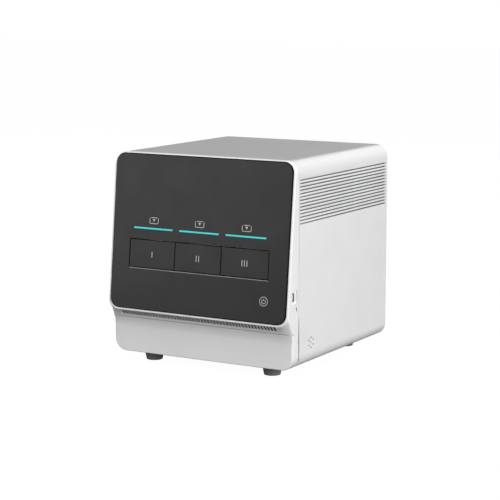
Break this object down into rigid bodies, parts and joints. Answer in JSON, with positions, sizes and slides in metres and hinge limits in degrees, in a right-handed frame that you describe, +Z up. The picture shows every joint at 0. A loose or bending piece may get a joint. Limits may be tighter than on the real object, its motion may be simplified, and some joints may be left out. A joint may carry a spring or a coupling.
{
  "type": "gradient thermal cycler",
  "caption": "Bench thermal cycler with a tilted dark front panel, motor drawers with well blocks and inner heated lids, side louvres, rear fans and rubber feet.",
  "frame": {"origin": "middle of the footprint at bench height", "axes": "+X to the object's right side as seen from the front, +Y to its back, +Z up"},
  "size_m": [0.36, 0.374, 0.3695],
  "materials": {
    "white_housing": "fine textured white paint",
    "white_moulding": "satin moulded white",
    "dark_glass": "satin dark grey panel",
    "drawer_panel": "satin dark grey panel",
    "light_guide": "frosted, lit turquoise",
    "printed_ink": "screen-printed",
    "circuit_board": "solder mask",
    "zinc_sheet": "zinc-coated sheet",
    "rubber": "matt",
    "screw_steel": "zinc-plated",
    "socket_steel": "nickel-plated",
    "white_insulator": "plain",
    "black_plastic": "fine grain",
    "supply_case": null,
    "block_aluminium": "machined",
    "ceramic": "ceramic faces",
    "tray_plastic": "fine grain",
    "pinion_plastic": "natural acetal",
    "filter_mat": "open foam",
    "motor_can": "zinc-plated can"
  },
  "bodies": {
    "housing": {"wrap_housing": "white_housing", "front_frame": "white_moulding", "front_glass": "dark_glass", "status_lights": "light_guide", "touch_board": "circuit_board", "base_plate": "zinc_sheet", "rubber_feet": "rubber", "foot_screws": "screw_steel", "rear_panel": "zinc_sheet", "rear_screws": "screw_steel", "chassis_deck": "zinc_sheet", "air_filters": "filter_mat", "usb_shell": "socket_steel", "usb_tongue": "white_insulator", "speaker": "black_plastic", "power_supply": "supply_case", "main_board": "circuit_board", "power_inlet": "black_plastic", "switch_bezel": "black_plastic", "fan_frame_left": "black_plastic", "fan_frame_right": "black_plastic", "bay_cage_left": "zinc_sheet", "bay_cage_middle": "zinc_sheet", "bay_cage_right": "zinc_sheet", "drawer_motors": "motor_can", "lid_motors": "motor_can"},
    "drawer_left": {"drawer_front_left": "drawer_panel", "drawer_tray_left": "tray_plastic", "sample_block_left": "block_aluminium", "thermoelectrics_left": "ceramic", "heat_sink_left": "block_aluminium"},
    "pinion_left": {"drive_pinion_left": "pinion_plastic"},
    "lid_left": {"lid_carrier_left": "tray_plastic", "lid_plate_left": "block_aluminium"},
    "screw_left": {"lid_screw_left": "screw_steel"},
    "drawer_middle": {"drawer_front_middle": "drawer_panel", "drawer_tray_middle": "tray_plastic", "sample_block_middle": "block_aluminium", "thermoelectrics_middle": "ceramic", "heat_sink_middle": "block_aluminium"},
    "pinion_middle": {"drive_pinion_middle": "pinion_plastic"},
    "lid_middle": {"lid_carrier_middle": "tray_plastic", "lid_plate_middle": "block_aluminium"},
    "screw_middle": {"lid_screw_middle": "screw_steel"},
    "drawer_right": {"drawer_front_right": "drawer_panel", "drawer_tray_right": "tray_plastic", "sample_block_right": "block_aluminium", "thermoelectrics_right": "ceramic", "heat_sink_right": "block_aluminium"},
    "pinion_right": {"drive_pinion_right": "pinion_plastic"},
    "lid_right": {"lid_carrier_right": "tray_plastic", "lid_plate_right": "block_aluminium"},
    "screw_right": {"lid_screw_right": "screw_steel"},
    "fan_left": {"fan_rotor_left": "black_plastic"},
    "fan_right": {"fan_rotor_right": "black_plastic"},
    "power_rocker": {"switch_rocker": "black_plastic"}
  },
  "joints": [
    {"name": "drawer_slide_left", "type": "slide", "parent": "housing", "child": "drawer_left", "axis": [0, -1, 0], "range_m": [0, 0.08]},
    {"name": "pinion_spin_left", "type": "hinge", "parent": "housing", "child": "pinion_left", "pos_m": [-0.0925, -0.0925, 0.17839], "axis": [1, 0, 0], "range_deg": [0, 580]},
    {"name": "lid_lift_left", "type": "slide", "parent": "housing", "child": "lid_left", "axis": [0, 0, 1], "range_m": [0, 0.006]},
    {"name": "lid_screw_spin_left", "type": "hinge", "parent": "housing", "child": "screw_left", "pos_m": [-0.0925, -0.128, 0.23659], "axis": [0, 0, 1], "range_deg": [-725, 0]},
    {"name": "drawer_slide_middle", "type": "slide", "parent": "housing", "child": "drawer_middle", "axis": [0, -1, 0], "range_m": [0, 0.08]},
    {"name": "pinion_spin_middle", "type": "hinge", "parent": "housing", "child": "pinion_middle", "pos_m": [0, -0.0925, 0.17839], "axis": [1, 0, 0], "range_deg": [0, 580]},
    {"name": "lid_lift_middle", "type": "slide", "parent": "housing", "child": "lid_middle", "axis": [0, 0, 1], "range_m": [0, 0.006]},
    {"name": "lid_screw_spin_middle", "type": "hinge", "parent": "housing", "child": "screw_middle", "pos_m": [0, -0.128, 0.23659], "axis": [0, 0, 1], "range_deg": [-725, 0]},
    {"name": "drawer_slide_right", "type": "slide", "parent": "housing", "child": "drawer_right", "axis": [0, -1, 0], "range_m": [0, 0.08]},
    {"name": "pinion_spin_right", "type": "hinge", "parent": "housing", "child": "pinion_right", "pos_m": [0.0925, -0.0925, 0.17839], "axis": [1, 0, 0], "range_deg": [0, 580]},
    {"name": "lid_lift_right", "type": "slide", "parent": "housing", "child": "lid_right", "axis": [0, 0, 1], "range_m": [0, 0.006]},
    {"name": "lid_screw_spin_right", "type": "hinge", "parent": "housing", "child": "screw_right", "pos_m": [0.0925, -0.128, 0.23659], "axis": [0, 0, 1], "range_deg": [-725, 0]},
    {"name": "fan_spin_left", "type": "hinge", "parent": "housing", "child": "fan_left", "pos_m": [-0.072, 0.1695, 0.2695], "axis": [0, 1, 0], "continuous": true},
    {"name": "fan_spin_right", "type": "hinge", "parent": "housing", "child": "fan_right", "pos_m": [0.072, 0.1695, 0.2695], "axis": [0, 1, 0], "continuous": true},
    {"name": "power_rocker_tilt", "type": "hinge", "parent": "housing", "child": "power_rocker", "pos_m": [0.076, 0.1815, 0.0715], "axis": [1, 0, 0], "range_deg": [0, 14]}
  ],
  "couplings": [
    {"joint": "pinion_spin_left", "follows": "drawer_slide_left", "rad_per_m": 125},
    {"joint": "lid_screw_spin_left", "follows": "lid_lift_left", "rad_per_m": -2094.4},
    {"joint": "pinion_spin_middle", "follows": "drawer_slide_middle", "rad_per_m": 125},
    {"joint": "lid_screw_spin_middle", "follows": "lid_lift_middle", "rad_per_m": -2094.4},
    {"joint": "pinion_spin_right", "follows": "drawer_slide_right", "rad_per_m": 125},
    {"joint": "lid_screw_spin_right", "follows": "lid_lift_right", "rad_per_m": -2094.4}
  ]
}
